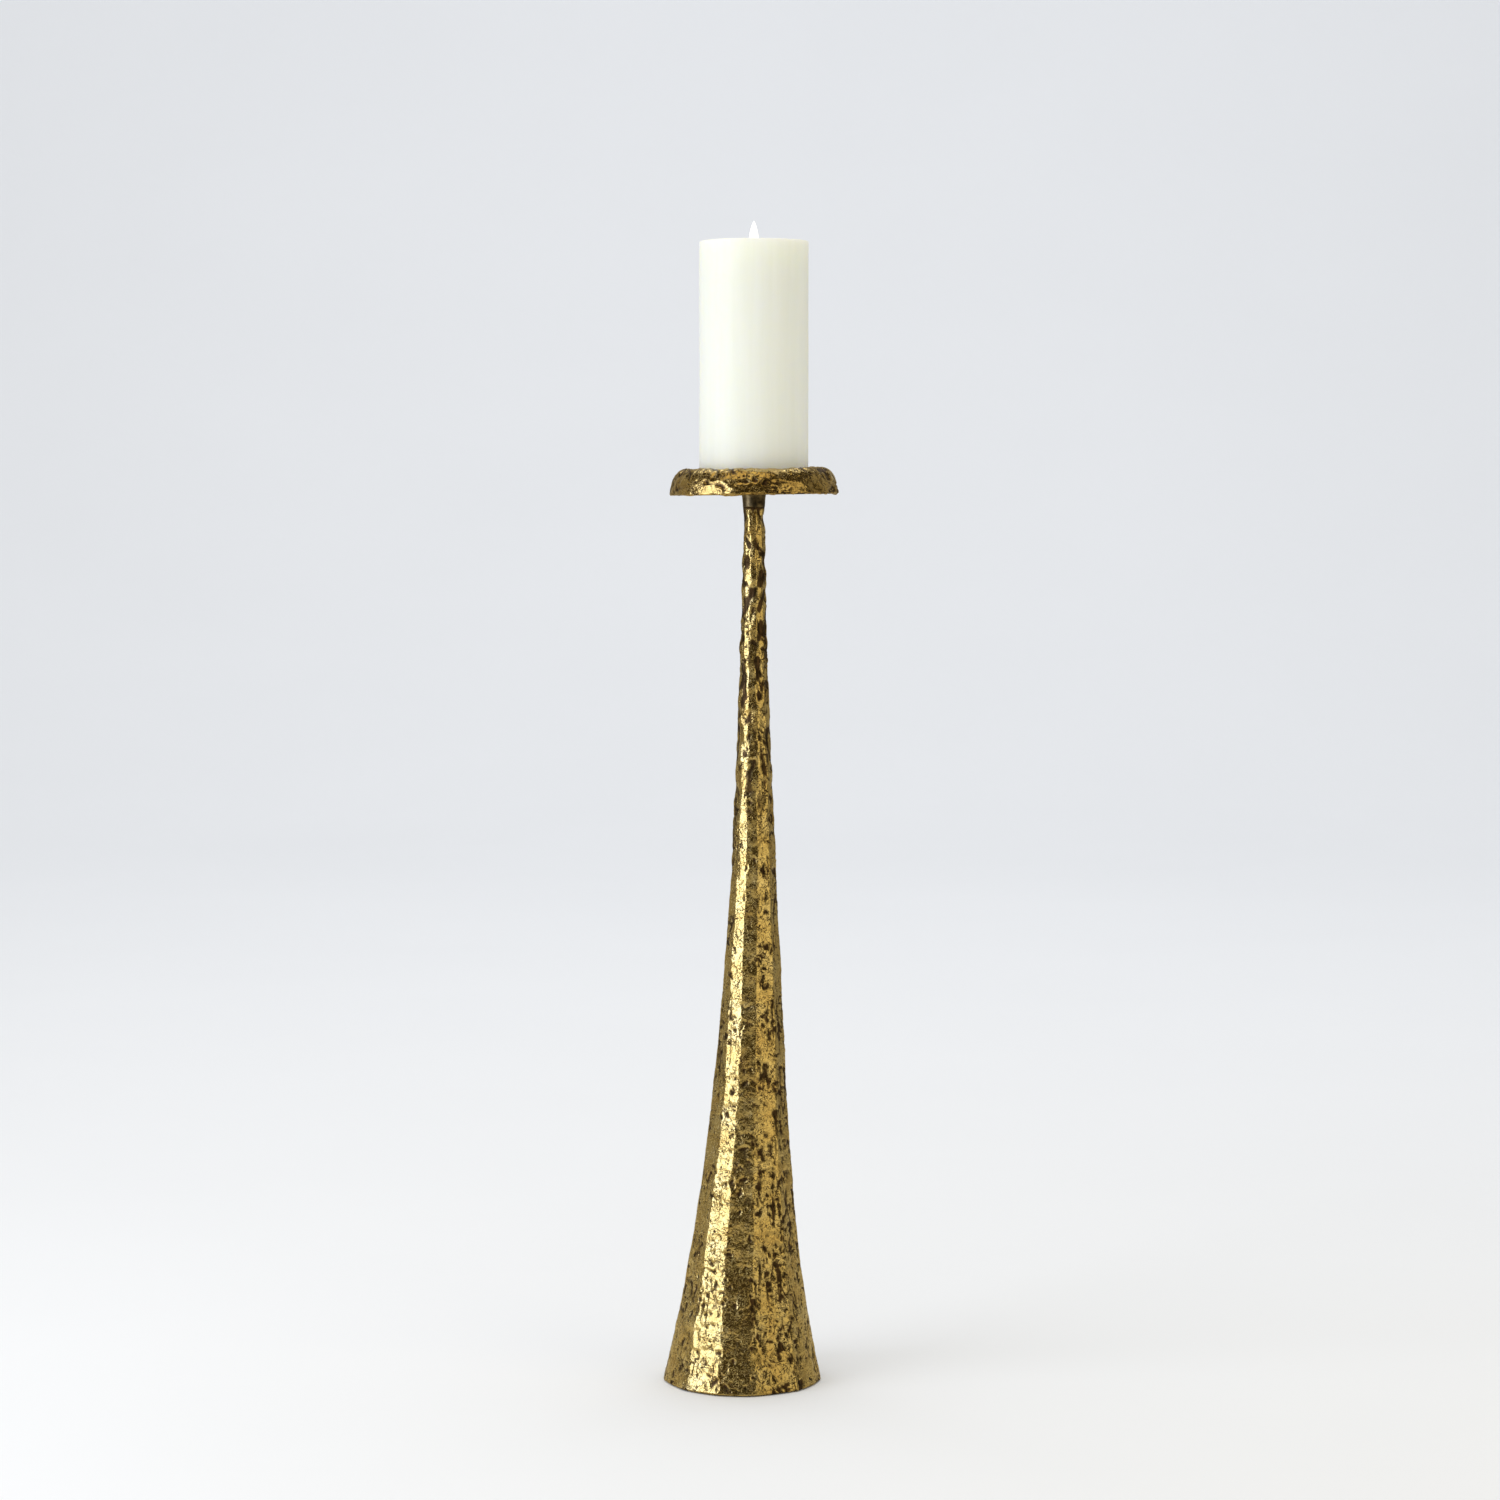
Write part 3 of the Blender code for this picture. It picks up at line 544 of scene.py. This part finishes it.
def make_flame(plastic):
    """The flame paddle: lens-shaped across, with an eye for the wire that it hangs on."""
    thickness = (FLAME_HIGH.y - FLAME_LOW.y) / 2
    full_width = 1.6 * MM
    tip, tail = FLAME_HIGH.z - PIVOT.z, FLAME_LOW.z - PIVOT.z
    rings = [[(PIVOT + Vector((0, 0, tail)), 0.0)]]
    for height in spaced(tail, tip - 0.25 * MM, 0.8 * MM):
        half = flame_half_width(height)
        depth = thickness * min(1, half / full_width) * mix(1, 0.85, smoothstep(0, 20 * MM, height))
        ring = []
        for i in range(FLAME_SIDES):
            angle = 2 * math.pi * i / FLAME_SIDES
            place = Vector((half * math.cos(angle), depth * math.sin(angle), height))
            ring.append((PIVOT + place, 0.0))
        rings.append(ring)
    rings.append([(PIVOT + Vector((0, 0, tip)), 0.0)])
    flame = skin("flame_paddle", rings)
    cut_away(flame, wire_eye())
    stand_for(flame, "flame", "flame_tip", plastic)


# Materials


def add_node(tree, kind, inputs=None, **settings):
    """Adds a shader node. An input is a number, a colour or another node's output socket."""
    made = tree.nodes.new("ShaderNode" + kind)
    for name, value in settings.items():
        setattr(made, name, value)
    for name, value in (inputs or {}).items():
        if isinstance(value, bpy.types.NodeSocket):
            tree.links.new(value, made.inputs[name])
        else:
            made.inputs[name].default_value = value
    return made


def new_material(name, **sockets):
    """A material whose shader has these values, as (tree, shader, material). Names use _ for spaces."""
    material = bpy.data.materials.new(name)
    material.use_nodes = True
    tree = material.node_tree
    shader = tree.nodes["Principled BSDF"]
    for socket, value in sockets.items():
        shader.inputs[socket.replace("_", " ")].default_value = value
    return tree, shader, material


def object_place(tree, stretch=(1, 1, 1)):
    """The place on the object in metres, stretched."""
    place = add_node(tree, "TexCoord").outputs["Object"]
    return add_node(tree, "Mapping", {"Vector": place, "Scale": stretch}).outputs["Vector"]


def grain(tree, place, size, detail=3.0, roughness=0.55, distortion=0.0):
    """Noise from 0 to 1 with patches of about this size in metres."""
    inputs = {
        "Vector": place,
        "Scale": 1 / size,
        "Detail": detail,
        "Roughness": roughness,
        "Distortion": distortion,
    }
    return add_node(tree, "TexNoise", inputs).outputs["Fac"]


def ramp(tree, factor, stops):
    """A colour or grey ramp over a factor. A stop is (place, colour or number)."""
    made = add_node(tree, "ValToRGB", {"Fac": factor})
    elements = made.color_ramp.elements
    while len(elements) < len(stops):
        elements.new(0.5)
    for element, (place, value) in zip(elements, stops):
        element.position = place
        element.color = (*value, 1) if hasattr(value, "__len__") else (value, value, value, 1)
    return made.outputs["Color"]


def math_node(tree, operation, first, second=0.5, clamp=False):
    """The result of an operation on numbers or sockets. One on a single number ignores the second."""
    made = add_node(tree, "Math", {0: first, 1: second}, operation=operation, use_clamp=clamp)
    return made.outputs["Value"]


def blend_colour(tree, factor, first, second):
    """A blend of two colours. A Mix node's sockets go by number, as its types share their names."""
    first, second = (
        value if isinstance(value, bpy.types.NodeSocket) else (*value, 1) for value in (first, second)
    )
    return add_node(tree, "Mix", {0: factor, 6: first, 7: second}, data_type="RGBA").outputs[2]


def add_bump(tree, shader, height, distance, strength=1.0):
    """Raises the surface by a height field, over the bump that the shader already has."""
    inputs = {"Height": height, "Distance": distance, "Strength": strength}
    linked = shader.inputs["Normal"].links
    if linked:
        inputs["Normal"] = linked[0].from_socket
    bump = add_node(tree, "Bump", inputs)
    tree.links.new(bump.outputs["Normal"], shader.inputs["Normal"])


def crinkled_place(tree, size, amount):
    """The place on the object, pushed about so that round patterns drawn in it turn ragged."""
    place = object_place(tree)
    swirl = add_node(tree, "TexNoise", {"Vector": place, "Scale": 1 / size, "Detail": 2.0})
    pushed = add_node(
        tree,
        "VectorMath",
        {0: swirl.outputs["Color"], 1: (amount, amount, amount), 2: place},
        operation="MULTIPLY_ADD",
    )
    return pushed.outputs["Vector"]


def cast_brass(name, low, middle, high):
    """Antique brass: bright high places, brown patina in the pits and clusters of fine dark wrinkles."""
    tree, shader, material = new_material(name, Metallic=1.0)
    place = object_place(tree)
    ragged = crinkled_place(tree, 2.4 * MM, 1.6 * MM)
    patina = add_node(tree, "Attribute", attribute_name="patina").outputs["Fac"]
    density = grain(tree, place, 9 * MM, 3.0)
    clusters = ramp(tree, density, ((0.38, 0.3), (0.55, 1.0)))
    ripple = grain(tree, ragged, 1.7 * MM, 1.6, 0.5, 0.4)
    curls = grain(tree, ragged, 2.6 * MM, 1.2, 0.5, 0.6)
    line = math_node(tree, "ABSOLUTE", math_node(tree, "SUBTRACT", curls, 0.5))
    wrinkles = math_node(tree, "MULTIPLY", ramp(tree, line, ((0.016, 1.0), (0.04, 0.0))), clusters)
    streaks = grain(tree, object_place(tree, (1, 1, 0.1)), 1.5 * MM, 2.0)
    waves = math_node(tree, "MULTIPLY", ripple, clusters)
    height = math_node(tree, "SUBTRACT", waves, math_node(tree, "MULTIPLY", wrinkles, 0.5))

    patches = grain(tree, place, 14 * MM, 4.0)
    metal = ramp(tree, patches, ((0.3, low), (0.5, middle), (0.7, high)))
    dark = ramp(tree, streaks, ((0.35, (0.022, 0.013, 0.009)), (0.65, (0.10, 0.055, 0.03))))
    cover = math_node(tree, "ADD", patina, math_node(tree, "MULTIPLY", wrinkles, 0.9), clamp=True)
    soft_cover = ramp(tree, cover, ((0.3, 0.0), (0.85, 0.96)))
    tree.links.new(blend_colour(tree, soft_cover, metal, dark), shader.inputs["Base Color"])
    tree.links.new(ramp(tree, soft_cover, ((0.0, 0.14), (1.0, 0.42))), shader.inputs["Roughness"])
    add_bump(tree, shader, height, 0.24 * MM)
    return material


def turned_brass():
    """The collar's duller brass, turned smooth and tarnished grey-brown, and darkened further with painted
    shade from the pan above it.
    """
    tree, shader, material = new_material("turned_brass", Metallic=1.0)
    place = object_place(tree)
    patches = grain(tree, place, 5 * MM, 4.0)
    # Tarnish plus painted shade: these very dark colours also paint in the shade that the pan casts over
    # the collar.
    colour = ramp(tree, patches, ((0.35, (0.05, 0.04, 0.028)), (0.65, (0.22, 0.175, 0.10))))
    tree.links.new(colour, shader.inputs["Base Color"])
    rough = ramp(tree, patches, ((0.3, 0.5), (0.7, 0.32)))
    tree.links.new(rough, shader.inputs["Roughness"])
    turning = grain(tree, object_place(tree, (0.1, 0.1, 1)), 0.6 * MM, 2.0)
    add_bump(tree, shader, turning, 0.05 * MM, 0.4)
    return material


def ivory_wax():
    """Ivory wax with faint streaks down the mould and a soft glow inside."""
    tree, shader, material = new_material(
        "ivory_wax",
        Roughness=0.42,
        Subsurface_Weight=1.0,
        Subsurface_Radius=(1.0, 0.95, 0.75),
        Subsurface_Scale=9 * MM,
        Specular_IOR_Level=0.45,
    )
    streaks = grain(tree, object_place(tree, (1, 1, 0.05)), 5 * MM, 3.0)
    colour = ramp(tree, streaks, ((0.3, (0.855, 0.88, 0.80)), (0.7, (0.88, 0.905, 0.84))))
    tree.links.new(colour, shader.inputs["Base Color"])
    mottle = grain(tree, object_place(tree, (1, 1, 0.4)), 2.5 * MM, 3.0)
    add_bump(tree, shader, mottle, 0.08 * MM, 0.4)
    return material


def flame_white_painted_glow():
    """The flame's translucent white plastic, with a painted glow that stands for the lamp lighting it from
    below.
    """
    tree, shader, material = new_material(
        "flame_white_painted_glow",
        Roughness=0.35,
        Subsurface_Weight=0.3,
        Subsurface_Scale=2 * MM,
        # Painted glow: the emission brightens the flame as if the lamp lit it from below.
        Emission_Color=(1.0, 0.97, 0.9, 1),
        Emission_Strength=1.0,
    )
    place = object_place(tree)
    mottle = grain(tree, place, 3 * MM, 2.0)
    colour = ramp(tree, mottle, ((0.3, (0.93, 0.92, 0.88)), (0.7, (0.97, 0.96, 0.93))))
    tree.links.new(colour, shader.inputs["Base Color"])
    add_bump(tree, shader, grain(tree, place, 0.8 * MM), 0.02 * MM, 0.3)
    return material


def moulded_plastic(name, low, high, roughness):
    """Moulded plastic with a fine spark-eroded texture."""
    tree, shader, material = new_material(name, Roughness=roughness)
    place = object_place(tree)
    shade = grain(tree, place, 9 * MM, 3.0)
    tree.links.new(ramp(tree, shade, ((0.3, low), (0.7, high))), shader.inputs["Base Color"])
    add_bump(tree, shader, grain(tree, place, 0.35 * MM, 2.0), 0.03 * MM, 0.5)
    return material


def steel(name, low, high, roughness):
    """Plated or blackened steel, finely brushed, with slightly cloudy gloss."""
    tree, shader, material = new_material(name, Metallic=1.0)
    shade = grain(tree, object_place(tree), 4 * MM, 4.0)
    tree.links.new(ramp(tree, shade, ((0.3, low), (0.7, high))), shader.inputs["Base Color"])
    gloss = ramp(tree, shade, ((0.3, roughness + 0.12), (0.7, roughness)))
    tree.links.new(gloss, shader.inputs["Roughness"])
    brushed = grain(tree, object_place(tree, (0.08, 1, 1)), 0.25 * MM, 2.0)
    add_bump(tree, shader, brushed, 0.01 * MM, 0.5)
    return material


def wool_felt():
    """Pressed felt: matted fibres over soft lumps."""
    tree, shader, material = new_material(
        "wool_felt", Roughness=0.95, Sheen_Weight=0.5, Sheen_Roughness=0.5
    )
    place = object_place(tree)
    lumps = grain(tree, place, 2.2 * MM, 4.0)
    colour = ramp(tree, lumps, ((0.3, (0.030, 0.026, 0.023)), (0.7, (0.075, 0.067, 0.06))))
    tree.links.new(colour, shader.inputs["Base Color"])
    for stretch in ((0.15, 1, 1), (1, 0.15, 1)):
        fibres = grain(tree, object_place(tree, stretch), 0.3 * MM, 2.0, 0.5, 2.0)
        add_bump(tree, shader, fibres, 0.15 * MM, 0.5)
    add_bump(tree, shader, lumps, 0.4 * MM, 0.5)
    return material


def lamp_resin():
    """The lamp's clear amber resin."""
    tree, shader, material = new_material("lamp_resin", Roughness=0.08, IOR=1.54, Transmission_Weight=0.6)
    shade = grain(tree, object_place(tree), 1.5 * MM, 2.0)
    colour = ramp(tree, shade, ((0.3, (0.93, 0.80, 0.52)), (0.7, (0.97, 0.88, 0.66))))
    tree.links.new(colour, shader.inputs["Base Color"])
    return material


def copper_winding():
    """Lacquered wire wound in even turns."""
    tree, shader, material = new_material("copper_winding", Metallic=1.0, Roughness=0.3, Coat_Weight=0.4)
    winding_scale = 191.08
    inputs = {"Vector": object_place(tree), "Scale": winding_scale, "Distortion": 0.0}
    turns = add_node(tree, "TexWave", inputs, bands_direction="Z").outputs["Fac"]
    colour = ramp(tree, turns, ((0.0, (0.30, 0.11, 0.04)), (1.0, (0.80, 0.36, 0.16))))
    tree.links.new(colour, shader.inputs["Base Color"])
    add_bump(tree, shader, turns, 0.1 * MM, 0.8)
    return material


def board_green():
    """Solder mask over faintly showing tracks."""
    tree, shader, material = new_material("board_green", Roughness=0.35)
    tracks = add_node(
        tree,
        "TexBrick",
        {
            "Vector": object_place(tree),
            "Color1": (0.02, 0.16, 0.07, 1),
            "Color2": (0.03, 0.20, 0.09, 1),
            "Mortar": (0.05, 0.28, 0.12, 1),
            "Scale": 160.0,
            "Mortar Size": 0.05,
        },
    )
    tree.links.new(tracks.outputs["Color"], shader.inputs["Base Color"])
    add_bump(tree, shader, tracks.outputs["Fac"], 0.03 * MM, 0.5)
    return material


def cell_jacket():
    """A battery's dark printed sleeve, with a copper-coloured band near one end."""
    tree, shader, material = new_material("cell_jacket", Roughness=0.3, Metallic=0.6)
    low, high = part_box("battery_cell_1")
    place = add_node(tree, "TexCoord").outputs["Object"]
    height = add_node(tree, "SeparateXYZ", {"Vector": place}).outputs["Z"]
    inputs = {"Value": height, "From Min": low.z, "From Max": high.z}
    share = add_node(tree, "MapRange", inputs).outputs["Result"]
    dark, copper = (0.03, 0.03, 0.035), (0.62, 0.33, 0.14)
    colour = ramp(tree, share, ((0.0, dark), (0.69, dark), (0.70, copper)))
    tree.links.new(colour, shader.inputs["Base Color"])
    add_bump(tree, shader, grain(tree, place, 2 * MM), 0.02 * MM, 0.3)
    return material


def dress_cad_nodes():
    """Gives every CAD node that stays in view a procedural material in place of its plain one."""
    cream_low, cream_high = (0.76, 0.72, 0.58), (0.84, 0.80, 0.68)
    looks = {
        "dark_steel": steel("black_steel", (0.035, 0.035, 0.038), (0.075, 0.074, 0.072), 0.38),
        "bright_steel": steel("nickel_steel", (0.55, 0.54, 0.52), (0.70, 0.69, 0.67), 0.2),
        "cream_plastic": moulded_plastic("cream_plastic_moulding", cream_low, cream_high, 0.5),
        "felt": wool_felt(),
        "lamp_resin": lamp_resin(),
        "copper_wire": copper_winding(),
        "circuit_board": board_green(),
        "battery_jacket": cell_jacket(),
    }
    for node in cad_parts.values():
        plain = node.data.materials[0].name.split(".")[0]
        if plain in looks and not node.hide_render:
            node.material_slots[0].material = looks[plain]


# The studio


def make_sweep():
    """A pale floor that curves up into a plain backdrop. Polished metal sees it browner than the camera."""
    front, back, bend, top, half = -9.0, 6.4, 3.0, 6.0, 9.0
    outline = [(front, 0.0), (0.0, 0.0)]
    for angle in spaced(0, math.pi / 2, 0.08):
        outline.append((back - bend + bend * math.sin(angle), bend - bend * math.cos(angle)))
    outline.append((back, top))
    points = [(x, y, z) for y, z in outline for x in (-half, half)]
    faces = [(2 * i, 2 * i + 1, 2 * i + 3, 2 * i + 2) for i in range(len(outline) - 1)]
    mesh = bpy.data.meshes.new("sweep")
    mesh.from_pydata(points, [], faces)
    mesh.shade_smooth()
    sweep = place_object("sweep", mesh)
    tree, shader, material = new_material("paper", Roughness=0.9, Specular_IOR_Level=0.1)
    shade = grain(tree, object_place(tree), 0.5, 2.0)
    colour = ramp(tree, shade, ((0.3, (0.87, 0.89, 0.925)), (0.7, (0.88, 0.90, 0.935))))
    metal_sees = add_node(tree, "LightPath").outputs["Is Glossy Ray"]
    seen = blend_colour(tree, metal_sees, colour, (0.50, 0.435, 0.29))
    tree.links.new(seen, shader.inputs["Base Color"])
    mesh.materials.append(material)


def add_card(name, place, size, colour):
    """A dim brown card beside the object, which only reflections see. It faces the frame's Z axis."""
    bm = bmesh.new()
    bmesh.ops.create_grid(bm, x_segments=1, y_segments=1, size=0.5)
    bmesh.ops.scale(bm, vec=(size[0], size[1], 1), verts=bm.verts)
    mesh = finish_bmesh(name, bm)
    card = place_object(name, mesh)
    card.location = place
    inward = Vector((0, 0, place[2])) - Vector(place)
    card.rotation_euler = inward.to_track_quat("Z", "Y").to_euler()
    _, _, material = new_material(
        name, Base_Color=(0, 0, 0, 1), Roughness=1.0, Emission_Color=(*colour, 1), Emission_Strength=1.0
    )
    mesh.materials.append(material)
    card.visible_camera = card.visible_diffuse = card.visible_shadow = False
    card.visible_transmission = card.visible_volume_scatter = False


def add_softbox(name, place, target, size, radiance, colour=(1, 1, 1)):
    """A rectangular soft light that faces a target. Its radiance is what a mirror of it would show."""
    light = bpy.data.lights.new(name, "AREA")
    light.shape = "RECTANGLE"
    light.size, light.size_y = size
    light.energy = radiance * math.pi * size[0] * size[1]
    light.color = colour
    lamp = place_object(name, light)
    lamp.location = place
    lamp.rotation_euler = (Vector(target) - Vector(place)).to_track_quat("-Z", "Y").to_euler()
    lamp.visible_camera = False


def make_room():
    """A pale room that lights matt surfaces evenly, and that polished metal sees as dim and brown."""
    world = bpy.data.worlds.new("room")
    world.use_nodes = True
    world.cycles.sampling_method = "NONE"
    tree = world.node_tree
    metal_sees = add_node(tree, "LightPath").outputs["Is Glossy Ray"]
    pale = (0.605, 0.605, 0.60)
    brown = (0.05, 0.038, 0.018)
    seen = blend_colour(tree, metal_sees, pale, brown)
    tree.links.new(seen, tree.nodes["Background"].inputs["Color"])
    bpy.context.scene.world = world
    bpy.context.scene.view_settings.view_transform = "Standard"


def make_lights():
    """A key at the left, a dim warm fill at the right, two lights overhead and a wash on the backdrop."""
    aim = (0, 0, 0.45)
    head = (0, 0, 0.65)
    warm = (1.0, 0.83, 0.48)
    add_softbox("key", (-1.5, -0.87, 0.75), aim, (1.3, 1.5), 2.3, (0.95, 0.98, 1.05))
    add_softbox("fill", (1.35, -1.0, 0.75), aim, (1.1, 1.6), 0.68, warm)
    add_softbox("overhead", (-0.25, -0.75, 2.25), head, (1.7, 1.4), 0.9, warm)
    add_softbox("top", (0.0, 1.0, 2.9), (0, 0.6, 0), (3.2, 1.6), 1.0)
    add_softbox("wash", (0.0, 2.4, 4.4), (0, 5.6, 0.8), (5.0, 1.5), 2.5)
    for name, side in (("left_card", -1), ("right_card", 1)):
        add_card(name, (side * 0.95, 0.45, 0.6), (0.9, 1.5), (0.29, 0.25, 0.165))


def make_camera():
    """The camera a little above the middle of the object, looking very slightly down."""
    camera = bpy.data.cameras.new("camera")
    camera.lens = 85
    camera.sensor_width = 36
    stand = place_object("camera", camera)
    stand.location = (5.5 * MM, -2.487, 0.640)
    stand.rotation_euler = (math.radians(90 - 4.391), 0, 0)
    bpy.context.scene.camera = stand


make_stem(cast_brass("cast_brass", *BRIGHT_BRASS))
make_pan(cast_brass("tarnished_brass", *TARNISHED_BRASS))
make_collar(turned_brass())
make_wax(ivory_wax())
make_flame(flame_white_painted_glow())
dress_cad_nodes()
make_sweep()
make_room()
make_lights()
make_camera()
